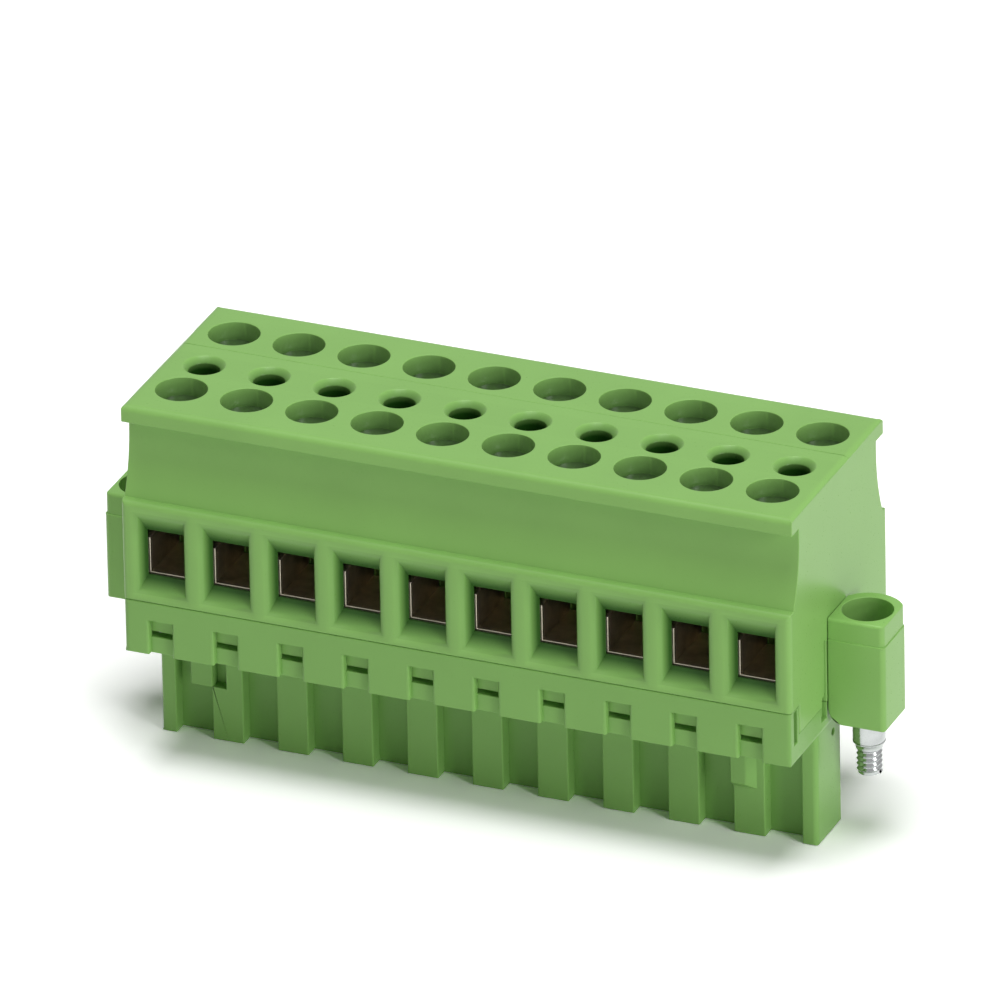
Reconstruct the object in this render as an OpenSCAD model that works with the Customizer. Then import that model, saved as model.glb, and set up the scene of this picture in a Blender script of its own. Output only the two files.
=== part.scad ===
// Double-row pluggable terminal block with screw flanges.
// X runs along the row of poles, Y runs to the rear and Z runs up.
// The origin is under the middle of the plug, on the plane it stands on.

/* [Row] */
// Number of poles in the row
poles = 10; // [2:1:10]
// Distance from one pole to the next
pitch = 5.08; // [5.0:0.01:5.3]
// Housing left over beyond the outer cells at each end
end_margin = 0.5; // [0.4:0.05:1.5]

/* [Housing outline] */
// Depth across the two top lips
lip_depth = 17.5; // [17.2:0.1:18.4]
// Depth across the two wire-entry frames
frame_depth = 18.6; // [18.4:0.1:19.4]
// Height of the top lip
lip_h = 1.3; // [0.9:0.1:1.8]
// How far the wall lies behind the lip
lip_overhang = 1.35; // [1.0:0.05:1.5]
// Radius of the wall's outward flare
flare_r = 12.5; // [11.5:0.5:20]
// Joint between the two upper halves, measured from the middle to the rear
parting_y = 2.15; // [1.9:0.05:2.3]

/* [Clamps] */
// Distance of each screw row from the middle
row_y = 4.78; // [4.7:0.02:4.9]
// Diameter of the screwdriver wells
well_d = 3.8; // [3.75:0.05:4.1]
// Diameter of the clamp screw's thread
thread_d = 3.0; // [2.6:0.1:3.0]
// Diameter of the clamp screw's head
head_d = 3.6; // [3.3:0.05:3.65]
// Height of the clamp screw's head
head_h = 1.6; // [1.2:0.1:2.0]
// Depth of the screw head below the top face
head_depth = 1.3; // [0.6:0.1:2.5]
// How far a cage rises from fully open to fully closed
clamp_travel = 2.5; // [1.0:0.1:2.5]
// Clear height for the conductor when the cage is open
wire_h = 3.6; // [3.0:0.05:3.75]
// Thickness of the cage's floor
cage_floor = 0.65; // [0.5:0.05:0.9]
// Thickness of the cage's threaded roof
cage_roof = 1.5; // [1.2:0.1:1.8]

/* [Wire entries] */
// Width of the funnel's mouth
mouth_w = 3.75; // [3.4:0.05:3.9]
// Height of the funnel's mouth
mouth_h = 6.4; // [5.6:0.1:6.4]
// Width of the funnel's throat
throat_w = 2.9; // [2.6:0.05:3.1]
// Height of the funnel's throat
throat_h = 3.6; // [3.2:0.1:3.8]

/* [Test holes] */
// Diameter of the test plug holes
test_d = 2.3; // [2.0:0.1:2.4]
// Distance of the test holes and contacts in front of the middle
test_y = 0.68; // [0.5:0.02:0.8]
// Width of the chamfer round a test hole
test_chamfer = 0.42; // [0.2:0.02:0.5]

/* [Base and plug] */
// Height of the plug below the base
base_z = 9.05; // [8.2:0.05:10]
// Height of the base with its latch strip
base_h = 4.2; // [4.0:0.1:5.0]
// Thickness of the base's deck
deck_t = 1.5; // [1.2:0.1:1.6]
// Width of a latch window
latch_w = 1.8; // [1.4:0.1:2.2]
// How far the latches stand left of their poles
latch_shift = 0.18; // [0:0.02:0.3]
// Distance from the middle to the plug's front ribs
plug_front = 3.8; // [3.6:0.05:4.1]
// Distance from the middle to the plug's rear ribs
plug_rear = 2.6; // [2.4:0.05:3.0]
// Width of a plug rib
rib_w = 2.44; // [2.0:0.02:2.6]
// How far a rib stands out
rib_t = 1.15; // [0.7:0.05:1.15]

/* [Contacts] */
// Width of the contact bar
bar_w = 2.4; // [2.0:0.05:2.5]
// Thickness of the contact bar
bar_t = 1.0; // [0.8:0.05:1.1]
// Size of the square header pin that the socket takes
pin_size = 1.0; // [0.8:0.05:1.0]

/* [Flanges] */
// Width of a flange
flange_w = 4.4; // [4.3:0.05:5.2]
// Height of a flange
flange_h = 8.4; // [8.0:0.05:9.0]
// Distance from the middle to a flange's front face
flange_front = 2.45; // [2.4:0.05:2.7]
// Thickness of the round wall behind a flange's pocket
flange_wall = 0.82; // [0.6:0.02:1.0]
// Diameter of the screwdriver pocket in a flange
pocket_d = 3.75; // [3.4:0.05:3.8]
// Depth of the screwdriver pocket
pocket_depth = 5.3; // [4.0:0.1:5.5]
// Diameter of the flange screw's collar
collar_d = 2.4; // [2.2:0.05:2.5]
// How far the collar reaches below its flange
collar_reach = 2.2; // [1.6:0.1:2.4]
// Diameter of the flange screw's threaded end
flange_thread_d = 1.9; // [1.8:0.05:2.1]
// How far the flange screw reaches below its flange
screw_reach = 4.6; // [3.6:0.1:6.5]

/* [Hidden] */
fit = 0.06;           // radial running fit of screws in bores and threads
slide = 0.1;          // gap each side of a sliding cage
seat = 0.03;          // gap between faces that rest on each other
over = 1;             // how far a cutter runs past the face it opens
slot_w = 0.6;         // width of a screwdriver slot
rim = 0.1;            // how far a cage's floor stands above the throat in front of it

row_l = poles * pitch + 2 * end_margin;
end_x = row_l / 2;
plug_x = poles * pitch / 2 + 0.2;

// Heights, from the deck up through one clamp to the top face
seam_z = base_z + base_h;
deck_z = seam_z - deck_t;
cage_z = seam_z + 1.2;
floor_z = cage_z + cage_floor;
bar_z = floor_z + wire_h;
bar_top = bar_z + bar_t;
roof_z = bar_top + 0.15;
cage_top = roof_z + cage_roof;
cell_top = cage_top + clamp_travel + 0.45;
head_z = cell_top + 1.3;
body_h = head_z + head_h + head_depth;
lip_z = body_h - lip_h;

// Wire entries
throat_z = floor_z - rim;
throat_top = throat_z + throat_h;
mouth_top = throat_top + 1.7;
mouth_z = mouth_top - mouth_h;
ledge_z = mouth_top + 0.85;

// Depths, measured outwards from the middle
cell_w = 4.1;
cell_in = 2.7;
cell_out = frame_depth / 2 - 1.25;
wall_out = lip_depth / 2 - lip_overhang;
cell_neck = min(wall_out, cell_out) - 0.6;
cell_step = ledge_z - 0.75;
throat_out = cell_out + 0.2;
flare_z = lip_z - 0.85;

// Cages
cage_w = cell_w - 2 * slide;
cage_wall = 0.6;
cage_in = cell_in + slide;
cage_out = cell_out - slide;
cage_neck = cell_neck - slide;
cage_step = cell_step - clamp_travel - 0.05;

// Latch strip, tongues and end skirts
strip_t = 0.65;
strip_in = frame_depth / 2 - strip_t;
latch_top = base_z + 0.65 * base_h;
slit_z = base_z + 0.31 * base_h;
slit_h = 0.3;
tongue_t = 0.6;
tongue_w = latch_w + 0.8;
skirt_z = base_z + 0.47 * base_h;
skirt_t = 0.7;
skirt_y = strip_in - 1.0;
base_x = end_x - 0.05;

// Contacts
stem_t = 1.0;
shoulder_w = bar_w + 0.9;
shoulder_h = 0.8;
bore_top = clamp_travel + 0.3;
socket_w = 2.9;
socket_y = 2.9;
pin_hole = pin_size + 0.5;

// Keys and the ends of the plug
key_t = 0.6;
key_z = 0.47 * base_z;
plug_end_y = 0.6;

// Flanges and their screws
flange_z = base_z + 0.25;
flange_top = flange_z + flange_h;
flange_band = 1.65;
flange_step = 0.08;
foot_r = 1.2;
boss_r = pocket_d / 2 + flange_wall;
screw_x = end_x + flange_w / 2;
pocket_z = flange_top - pocket_depth;
flange_head_d = pocket_d - 2 * fit;
flange_head_h = 1.9;
cone_h = 0.45;
collar_end = flange_z - collar_reach;
flange_tip = flange_z - screw_reach;
tenon_y = [-1.2, 1.2];
tenon_x = 0.7;
tenon_top = flange_top - 0.55;
relief_t = 0.2;
relief_w = 0.5;

$fn = 48;

housing_green = [0.44, 0.66, 0.36];
plug_green = [0.40, 0.61, 0.33];
zinc = [0.78, 0.80, 0.80];
tin = [0.72, 0.70, 0.66];
brass = [0.76, 0.62, 0.40];

// Place along the row of pole i, counted from 1 at the left
function pole_x(i) = (i - (poles + 1) / 2) * pitch;

// A box between two opposite corners, given in any order
module block(a, b) {
    low = [for (k = [0:2]) min(a[k], b[k])];
    high = [for (k = [0:2]) max(a[k], b[k])];
    translate(low) cube(high - low);
}

// Repeats its children at every pole
module each_pole() {
    for (i = [1:poles]) translate([pole_x(i), 0, 0]) children();
}

// A profile drawn in Y and Z, swept along X over a length and centred
module sweep_x(length) {
    translate([-length / 2, 0, 0]) rotate([90, 0, 90]) linear_extrude(length) children();
}

// Cuts the flared wall under the lip; side is -1 for the front and 1 for the rear
module flare_cut(side) {
    edge = side * wall_out;
    length = row_l + 2 * over;
    block([-length / 2, edge, flare_z], [length / 2, side * frame_depth, lip_z]);
    intersection() {
        translate([-length / 2, edge + side * flare_r, flare_z])
            rotate([0, 90, 0]) cylinder(h = length, r = flare_r, $fn = 128);
        block([-length / 2, edge, ledge_z], [length / 2, side * frame_depth, flare_z + 0.01]);
    }
}

// Ten funnels, each the overlap of a slope swept along the row and a slope swept upwards
module wire_entries(side) {
    face = frame_depth / 2;
    run = face - throat_out;
    past = 0.3;
    flare_w = (mouth_w - throat_w) / 2 / run * past;
    rise = (mouth_top - throat_top) / run * past;
    drop = (throat_z - mouth_z) / run * past;
    inner = side * (cell_out - slide);
    mid = side * throat_out;
    outer = side * (face + past);
    intersection() {
        sweep_x(row_l)
            polygon([[inner, throat_z], [mid, throat_z], [outer, mouth_z - drop],
                [outer, mouth_top + rise], [mid, throat_top], [inner, throat_top]]);
        each_pole() linear_extrude(body_h)
            polygon([[-throat_w / 2, inner], [throat_w / 2, inner], [throat_w / 2, mid],
                [mouth_w / 2 + flare_w, outer], [-mouth_w / 2 - flare_w, outer],
                [-throat_w / 2, mid]]);
    }
}

// Wells, shank bores and cells of one row of clamps
module clamp_cells(side) {
    each_pole() {
        translate([0, side * row_y, head_z]) cylinder(h = body_h, d = well_d);
        translate([0, side * row_y, bar_top]) cylinder(h = body_h - bar_top, d = thread_d + 2 * fit);
        block([-cell_w / 2, side * cell_in, seam_z - over], [cell_w / 2, side * cell_out, cell_step]);
        block([-cell_w / 2, side * cell_in, seam_z], [cell_w / 2, side * cell_neck, cell_top]);
    }
}

// Slots that the contact bars and their shoulders slide up into
module contact_slots() {
    half = bar_w / 2 + slide;
    wide = shoulder_w / 2 + slide;
    each_pole() {
        block([-half, -cell_in - over, seam_z - over], [half, cell_in + over, bar_top + seat]);
        block([-wide, -test_y - stem_t / 2 - slide, seam_z - over],
            [wide, -test_y + stem_t / 2 + slide, seam_z + shoulder_h + seat]);
    }
}

// Test holes with their chamfers, down to the contact bars
module test_holes() {
    each_pole() translate([0, -test_y, 0]) {
        translate([0, 0, bar_top - over]) cylinder(h = body_h, d = test_d);
        translate([0, 0, body_h - test_chamfer])
            cylinder(h = test_chamfer + 0.1, d1 = test_d, d2 = test_d + 2 * test_chamfer + 0.2);
    }
}

// Tongues that pass behind the latch strip and hook under the deck
module latch_tongues(side) {
    front = side * (strip_in - seat);
    back = side * (strip_in - tongue_t);
    hook = side * (strip_in - tongue_t - 0.4);
    each_pole() translate([-latch_shift, 0, 0]) {
        block([-tongue_w / 2, front, slit_z + slit_h], [tongue_w / 2, back, seam_z + 0.3]);
        block([-tongue_w / 2, back + side * 0.1, deck_z - seat - 0.45],
            [tongue_w / 2, hook, deck_z - seat]);
    }
}

// One upper half: reach is how far past the middle, towards this side, its joint face lies
module upper_half(side, reach) {
    start = side * reach;
    difference() {
        union() {
            block([-end_x, start, seam_z], [end_x, side * frame_depth / 2, ledge_z]);
            block([-end_x, start, seam_z], [end_x, side * lip_depth / 2, body_h]);
            latch_tongues(side);
            for (x = [-end_x, end_x - skirt_t])
                block([x, start, skirt_z], [x + skirt_t, side * skirt_y, seam_z + 0.3]);
        }
        flare_cut(side);
        clamp_cells(side);
        wire_entries(side);
        contact_slots();
    }
}

// Slots in the end walls that hold the flanges
module tenon_slots() {
    for (s = [-1, 1])
        block([s * (end_x - tenon_x), tenon_y[0] - seat, skirt_z - over],
            [s * (end_x + over), tenon_y[1] + seat, tenon_top + seat]);
}

// Relief in the end walls along the front edge of each flange, deeper at its lower end
module flange_relief() {
    edge = -flange_front;
    low = flange_z + 0.5;
    for (s = [-1, 1]) {
        block([s * (end_x - relief_t), edge - relief_w, low],
            [s * (end_x + over), edge, flange_top - flange_band]);
        block([s * (end_x - 2 * relief_t), edge - 2 * relief_w, low],
            [s * (end_x + over), edge, skirt_z + 0.7]);
    }
}

module front_housing() {
    color(housing_green)
    difference() {
        upper_half(-1, -parting_y + seat / 2);
        test_holes();
        tenon_slots();
        flange_relief();
    }
}

module rear_housing() {
    color(housing_green) upper_half(1, parting_y + seat / 2);
}

// Base with its deck, latch strips and end walls
module base() {
    half = frame_depth / 2;
    under = deck_z - base_z;
    difference() {
        block([-base_x, -half, base_z], [base_x, half, seam_z]);
        block([-base_x + 0.95, -strip_in, base_z - over], [base_x - 0.95, strip_in, deck_z]);
        for (s = [-1, 1], t = [-1, 1])
            block([s * (base_x - 0.5), t * (strip_in - 0.65), skirt_z - 0.55],
                [s * (end_x + over), t * strip_in, seam_z - 0.15]);
        for (t = [-1, 1]) each_pole() translate([-latch_shift, 0, 0]) {
            block([-latch_w / 2, t * (strip_in - 0.1), base_z - over],
                [latch_w / 2, t * (half + over), latch_top]);
            block([-tongue_w / 2 - slide, t * strip_in, deck_z - 0.1],
                [tongue_w / 2 + slide, t * (strip_in - tongue_t - slide), seam_z + over]);
        }
    }
    for (t = [-1, 1]) each_pole() translate([-latch_shift, 0, 0]) {
        block([-tongue_w / 2, t * (strip_in + 0.1), base_z],
            [tongue_w / 2, t * (strip_in - tongue_t), slit_z]);
        block([-latch_w / 2 - 0.1, t * (strip_in - 0.1), base_z],
            [latch_w / 2 + 0.1, t * (half - 0.4), slit_z]);
    }
}

// Body of the plug with its ribs, before the sockets are cut
module plug_core() {
    front = -plug_front + rib_t;
    rear = plug_rear - rib_t;
    block([-plug_x, front, 0], [plug_x, rear, deck_z + 0.1]);
    for (i = [1:poles - 1]) {
        x = (pole_x(i) + pole_x(i + 1)) / 2;
        block([x - rib_w / 2, -plug_front, 0], [x + rib_w / 2, plug_rear, deck_z + 0.1]);
    }
    for (s = [-1, 1])
        block([s * (plug_x - rib_w / 2), -plug_front, 0], [s * plug_x, front + 0.1, deck_z + 0.1]);
}

// Square funnels that guide the header pins into the sockets
module pin_entries() {
    mouth = pin_hole + 0.9;
    lead = 0.5;
    guide = [[-mouth / 2 - 0.1, -0.1], [mouth / 2 + 0.1, -0.1], [pin_hole / 2, lead],
        [pin_hole / 2, 1.5], [-pin_hole / 2, 1.5], [-pin_hole / 2, lead]];
    translate([0, -test_y, 0]) intersection() {
        sweep_x(row_l) polygon(guide);
        each_pole() rotate([90, 0, 0]) linear_extrude(2 * mouth, center = true) polygon(guide);
    }
}

// Key blocks high on the plug's front, one near each end
module plug_keys() {
    right = pole_x(poles) - pitch / 2;
    left = pole_x(1);
    face = -plug_front - key_t;
    root = -plug_front + 0.1;
    // Right key, with a sloping lower end and a sloping right side
    intersection() {
        translate([right, 0, 0]) sweep_x(2 * rib_w)
            polygon([[root, key_z - key_t], [face, key_z], [face, deck_z], [root, deck_z]]);
        linear_extrude(deck_z)
            polygon([[right - rib_w / 2, root], [right - rib_w / 2, face],
                [right, face], [right + key_t + 0.1, root]]);
    }
    // Left key, standing in the gap beside the first rib
    block([left - 0.3, -plug_front - 0.1, key_z],
        [left + pitch / 2 - rib_w / 2 + 0.1, root + rib_t, deck_z]);
}

module plug_housing() {
    left_rib = pole_x(1) + pitch / 2 - rib_w / 2;
    color(plug_green)
    difference() {
        union() {
            base();
            plug_core();
            plug_keys();
        }
        // Sockets, open to the deck
        each_pole() block([-socket_w / 2, -test_y - socket_y / 2, 1.0],
            [socket_w / 2, -test_y + socket_y / 2, seam_z + over]);
        pin_entries();
        // Notch in the first rib beside the left key
        block([left_rib + 0.1, -plug_front - over, key_z],
            [left_rib + 0.45 * rib_w, -plug_front + 1.5 * key_t, deck_z]);
        // Rebates in the ends for the skirts of the upper halves
        for (s = [-1, 1])
            block([s * (end_x - skirt_t - seat), -skirt_y - seat, skirt_z - seat],
                [s * (end_x + over), skirt_y + seat, seam_z + over]);
        // Rear corners of the ends, cut away for the header's walls
        for (s = [-1, 1])
            block([s * (plug_x - 0.75), plug_end_y, -over], [s * (end_x + over), plug_rear + over, base_z]);
        flange_relief();
        // Small round hole in each end of the plug, under its flange
        for (s = [-1, 1])
            translate([s * plug_x, -test_y, base_z - 1.3]) rotate([0, 90, 0])
                cylinder(h = 0.8, d = 0.55, center = true);
    }
}

// A flange's column between two heights: square at the front, round about its screw at the rear
module flange_column(side, inset, low, high) {
    outer = end_x + flange_w - inset;
    intersection() {
        block([side * (end_x + seat), -flange_front + inset, low], [side * outer, boss_r + over, high]);
        union() {
            translate([side * screw_x, 0, low - over])
                cylinder(h = high - low + 2 * over, r = boss_r - inset);
            block([side * (end_x - over), -flange_front - over, low - over],
                [side * (outer + over), 0, high + over]);
        }
    }
}

// A flange for side 1 (right) or -1 (left), with its tenon
module flange(side) {
    inner = end_x + seat;
    color(housing_green)
    difference() {
        union() {
            flange_column(side, 0, flange_z, flange_top - flange_band);
            flange_column(side, flange_step, flange_top - flange_band - 0.1, flange_top);
            block([side * (end_x - tenon_x + seat), tenon_y[0], skirt_z],
                [side * (inner + 0.1), tenon_y[1], tenon_top]);
        }
        // Round foot next to the housing
        translate([side * inner, 0, flange_z]) rotate([90, 0, 0]) difference() {
            block([-side * 0.01, -over, -2 * boss_r], [side * foot_r, foot_r, 2 * boss_r]);
            translate([side * foot_r, foot_r, -3 * boss_r]) cylinder(h = 6 * boss_r, r = foot_r);
        }
        translate([side * screw_x, 0, pocket_z]) cylinder(h = flange_h, d = pocket_d);
        translate([side * screw_x, 0, flange_z - over]) cylinder(h = flange_h, d = collar_d + 2 * fit);
    }
}

module flange_left() { flange(-1); }

module flange_right() { flange(1); }

// Captive screw: slotted head, smooth collar, cone and threaded end
module flange_screw(side) {
    slot_z = pocket_z + 0.5 * flange_head_h;
    color(zinc) translate([side * screw_x, 0, 0])
    difference() {
        union() {
            translate([0, 0, pocket_z + seat]) cylinder(h = flange_head_h - seat, d = flange_head_d);
            translate([0, 0, collar_end]) cylinder(h = pocket_z - collar_end + 0.2, d = collar_d);
            translate([0, 0, collar_end - cone_h])
                cylinder(h = cone_h, d1 = flange_thread_d, d2 = collar_d);
            translate([0, 0, flange_tip])
                cylinder(h = collar_end - cone_h - flange_tip, d = flange_thread_d);
        }
        block([-pocket_d, -slot_w / 2, slot_z], [pocket_d, slot_w / 2, flange_top]);
    }
}

module flange_screw_left() { flange_screw(-1); }

module flange_screw_right() { flange_screw(1); }

// Clamp screw with a slotted head; it turns in place on the contact bar
module clamp_screw(side, i) {
    color(zinc) translate([pole_x(i), side * row_y, 0])
    difference() {
        union() {
            translate([0, 0, head_z + seat]) cylinder(h = head_h - seat, d = head_d);
            translate([0, 0, bar_top + seat]) cylinder(h = head_z - bar_top + 0.1, d = thread_d);
        }
        block([-head_d, -slot_w / 2, head_z + 0.45 * head_h], [head_d, slot_w / 2, body_h]);
    }
}

// Cage that the screw draws up round the conductor
module cage(side, i) {
    color(tin) translate([pole_x(i), 0, 0])
    difference() {
        union() {
            block([-cage_w / 2, side * cage_in, cage_z], [cage_w / 2, side * cage_neck, cage_top]);
            block([-cage_w / 2, side * cage_in, cage_z], [cage_w / 2, side * cage_out, cage_step]);
        }
        block([-cage_w / 2 + cage_wall, side * (cage_in - over), floor_z],
            [cage_w / 2 - cage_wall, side * (cage_out + over), roof_z]);
        translate([0, side * row_y, roof_z - bore_top])
            cylinder(h = bore_top + cage_roof + over, d = thread_d + 2 * fit);
    }
}

// Contact: a bar through both cages, a stem and a forked socket for the header pin
module contact(i) {
    leaf_t = 0.4;
    root = 1.0;
    nip = pin_size * 0.42;
    reach = [bar_w / 2 - 0.1, 8.0, 3.0, 1.6];
    color(brass) translate([pole_x(i), 0, 0]) {
        block([-bar_w / 2, -cage_out + 0.3, bar_z], [bar_w / 2, cage_out - 0.3, bar_top]);
        translate([0, -test_y, 0]) {
            block([-bar_w / 2, -stem_t / 2, reach[1]], [bar_w / 2, stem_t / 2, bar_z + 0.1]);
            block([-shoulder_w / 2, -stem_t / 2, seam_z + seat],
                [shoulder_w / 2, stem_t / 2, seam_z + shoulder_h]);
            block([-reach[0], -root - leaf_t, reach[1] - 0.6], [reach[0], root + leaf_t, reach[1] + 0.4]);
            for (s = [-1, 1]) sweep_x(2 * reach[0])
                polygon([[s * root, reach[1]], [s * nip, reach[2]], [s * (nip + 0.4), reach[3]],
                    [s * (nip + 0.4 + leaf_t), reach[3]], [s * (nip + leaf_t), reach[2]],
                    [s * (root + leaf_t), reach[1]]]);
        }
    }
}

front_housing();
rear_housing();
plug_housing();
flange_left();
flange_right();
flange_screw_left();
flange_screw_right();
for (i = [1:poles]) {
    clamp_screw(-1, i);
    clamp_screw(1, i);
    cage(-1, i);
    cage(1, i);
    contact(i);
}
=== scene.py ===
"""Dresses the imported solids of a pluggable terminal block.

It makes rounded mouldings, threaded screws, plated cages and contacts, their finishes, and a plain
studio round them. All sizes are in metres, in the frame of the solids."""

from math import cos, pi, radians, sin

import bmesh
import bpy
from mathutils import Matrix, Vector


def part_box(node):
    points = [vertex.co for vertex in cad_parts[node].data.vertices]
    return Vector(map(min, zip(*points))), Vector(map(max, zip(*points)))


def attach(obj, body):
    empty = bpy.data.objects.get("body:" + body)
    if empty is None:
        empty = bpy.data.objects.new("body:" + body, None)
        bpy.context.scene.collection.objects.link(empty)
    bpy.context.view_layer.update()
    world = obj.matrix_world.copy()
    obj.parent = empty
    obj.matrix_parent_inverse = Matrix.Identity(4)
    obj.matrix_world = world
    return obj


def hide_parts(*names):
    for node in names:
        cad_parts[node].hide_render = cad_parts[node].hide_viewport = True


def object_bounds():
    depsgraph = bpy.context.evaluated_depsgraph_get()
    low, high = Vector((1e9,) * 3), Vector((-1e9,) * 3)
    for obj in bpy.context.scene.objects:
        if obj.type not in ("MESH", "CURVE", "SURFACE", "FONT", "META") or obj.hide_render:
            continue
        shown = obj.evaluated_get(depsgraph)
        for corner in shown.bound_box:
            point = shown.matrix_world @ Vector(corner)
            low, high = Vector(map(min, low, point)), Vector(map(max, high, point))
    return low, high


bl_info = {
    "name": "Pluggable Terminal Block",
    "version": (1, 0, 0),
    "blender": (4, 5, 0),
    "location": "View3D > Sidebar > Terminal Block",
    "description": "Builds the finished pieces of a pluggable terminal block and its studio",
    "category": "Object",
}

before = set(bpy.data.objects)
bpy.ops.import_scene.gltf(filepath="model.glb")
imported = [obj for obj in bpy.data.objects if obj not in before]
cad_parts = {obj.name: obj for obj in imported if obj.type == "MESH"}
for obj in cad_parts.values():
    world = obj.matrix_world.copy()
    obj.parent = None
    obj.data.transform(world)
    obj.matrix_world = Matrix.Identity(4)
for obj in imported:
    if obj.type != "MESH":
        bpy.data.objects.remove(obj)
cad_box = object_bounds()

MM = 0.001
SIDES = ("front", "rear")
ENDS = ("left", "right")
POLES = sum(node.startswith("contact_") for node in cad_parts)

NEAR = 0.02 * MM  # two places closer than this count as one
WELD = 0.002 * MM  # corners closer than this are merged
LONG_EDGE = 1.5 * MM  # shorter edges get only a fine rounding
SHARP_ANGLE = radians(28)  # edges flatter than this are not rounded

TEST_ROW = -0.68 * MM  # how far the test holes lie from the middle
TEST_HALF = 1.6 * MM  # half the width of the strip that holds a test hole's chamfer
# painted shade: these margins and this depth place the shade painted into the holes and wire entries
WELL_MARGIN = 0.3 * MM  # how far a well's darkened strip reaches past its screw's head
END_MARGIN = 0.5 * MM  # how far the darkened strips stop short of the body's ends
SILL_MARGIN = 0.6 * MM  # how far a wire entry's darkening reaches below its cage
LINTEL_MARGIN = 1 * MM  # how far it stops short of the cage's top
SHADE_DEPTH = 4 * MM  # how deep the darkened blocks of space reach
JOINT_CLOSING = 0.9  # share of the narrow gap between the upper halves that is closed

SLOT_WIDTH = 0.6 * MM  # width of the driver slots
THREAD_ANGLE = 30  # degrees up to which a turned screw is shaded smooth
LAMP_AIM = Vector((0, 0, 12 * MM))
CAMERA_AIM = Vector((0, 0, 14.5 * MM))
CAMERA_SHIFT = Vector((-0.34 * MM, 6.15 * MM, 0))  # to the camera's own right and up


# ---------------------------------------------------------------- selecting and shaping


def make_active(obj):
    """Selects one object alone and makes it the active one."""
    bpy.ops.object.select_all(action="DESELECT")
    obj.select_set(True)
    bpy.context.view_layer.objects.active = obj


def apply_modifiers(obj):
    """Applies every modifier of a piece, in order."""
    make_active(obj)
    for modifier in list(obj.modifiers):
        bpy.ops.object.modifier_apply(modifier=modifier.name)


def settle(obj):
    """Moves a piece's place, turn and scale into its mesh."""
    make_active(obj)
    bpy.ops.object.transform_apply(location=True, rotation=True, scale=True)


def join(parts, name):
    """Joins several pieces into the first one and names it."""
    make_active(parts[0])
    for part in parts[1:]:
        part.select_set(True)
    bpy.ops.object.join()
    parts[0].name = name
    parts[0].data.name = name
    return parts[0]


def twin(obj, name, offset):
    """A copy of a settled piece with a mesh of its own, moved by an offset."""
    copy = bpy.data.objects.new(name, obj.data.copy())
    copy.data.name = name
    bpy.context.scene.collection.objects.link(copy)
    copy.location = offset
    settle(copy)
    return copy


def cad_copy(node, name, cuts=()):
    """A merged copy of a CAD node, with the loose triangles of each flat face joined.

    Cuts are (axis, place) planes at which its faces stay divided, so that no large face keeps a hole."""
    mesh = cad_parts[node].data.copy()
    mesh.name = name
    mesh.materials.clear()
    piece = bpy.data.objects.new(name, mesh)
    bpy.context.scene.collection.objects.link(piece)
    make_active(piece)
    if piece.data.has_custom_normals:
        bpy.ops.mesh.customdata_custom_splitnormals_clear()
    shape = bmesh.new()
    shape.from_mesh(piece.data)
    bmesh.ops.remove_doubles(shape, verts=shape.verts, dist=WELD)
    for axis, place in cuts:
        normal = Vector((axis == "x", axis == "y", axis == "z"))
        everything = [*shape.verts, *shape.edges, *shape.faces]
        cut = bmesh.ops.bisect_plane(shape, geom=everything, dist=WELD / 2, plane_co=normal * place,
                                     plane_no=normal)
        for part in cut["geom_cut"]:
            if isinstance(part, bmesh.types.BMEdge):
                part.seam = True
    bmesh.ops.dissolve_limit(shape, angle_limit=radians(1.0), verts=shape.verts, edges=shape.edges,
                             delimit={"SEAM"})
    for edge in shape.edges:
        edge.seam = False
    shape.to_mesh(piece.data)
    shape.free()
    return piece


def round_edges(piece, widest, width_of, segments=3):
    """Rounds the sharp outward edges of a piece; width_of gives each one's width from its two ends."""
    shape = bmesh.new()
    shape.from_mesh(piece.data)
    layer = shape.edges.layers.float.new("bevel_weight_edge")
    for edge in shape.edges:
        if len(edge.link_faces) == 2 and edge.calc_face_angle_signed() > SHARP_ANGLE:
            start, end = edge.verts
            edge[layer] = min(1.0, width_of(start.co, end.co) / widest)
    shape.to_mesh(piece.data)
    shape.free()
    bevel = piece.modifiers.new("Rounding", "BEVEL")
    bevel.limit_method = "WEIGHT"
    bevel.width = widest
    bevel.segments = segments
    bevel.use_clamp_overlap = False
    bevel.miter_outer = "MITER_ARC"
    apply_modifiers(piece)
    return piece


def smooth(piece, angle=40):
    """Shades a piece smooth up to an angle, with the flat faces kept flat."""
    make_active(piece)
    bpy.ops.object.shade_smooth_by_angle(angle=radians(angle))
    weighted = piece.modifiers.new("Flat faces", "WEIGHTED_NORMAL")
    weighted.keep_sharp = True
    apply_modifiers(piece)
    return piece


def finish_piece(piece, material, body, slot, *nodes):
    """Gives a piece its material and body, and lets it stand for its CAD nodes. The slot is not used."""
    piece.data.materials.clear()
    piece.data.materials.append(material)
    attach(piece, body)
    if nodes:
        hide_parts(*nodes)
    return piece


# ---------------------------------------------------------------- finishes


def new_group(name, inputs, outputs):
    """A shader node group with named sockets, from lists of (name, kind, default)."""
    group = bpy.data.node_groups.new(name, "ShaderNodeTree")
    for in_out, sockets in (("INPUT", inputs), ("OUTPUT", outputs)):
        for label, kind, default in sockets:
            socket = group.interface.new_socket(label, in_out=in_out, socket_type=kind)
            if default is not None:
                socket.default_value = default
    start = group.nodes.new("NodeGroupInput")
    end = group.nodes.new("NodeGroupOutput")
    return group, start, end


def ranged(group, value, low, high):
    """A Map Range node that turns a 0 to 1 value into low to high."""
    node = group.nodes.new("ShaderNodeMapRange")
    node.inputs["To Min"].default_value = low
    node.inputs["To Max"].default_value = high
    group.links.new(value, node.inputs["Value"])
    return node.outputs["Result"]


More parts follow.
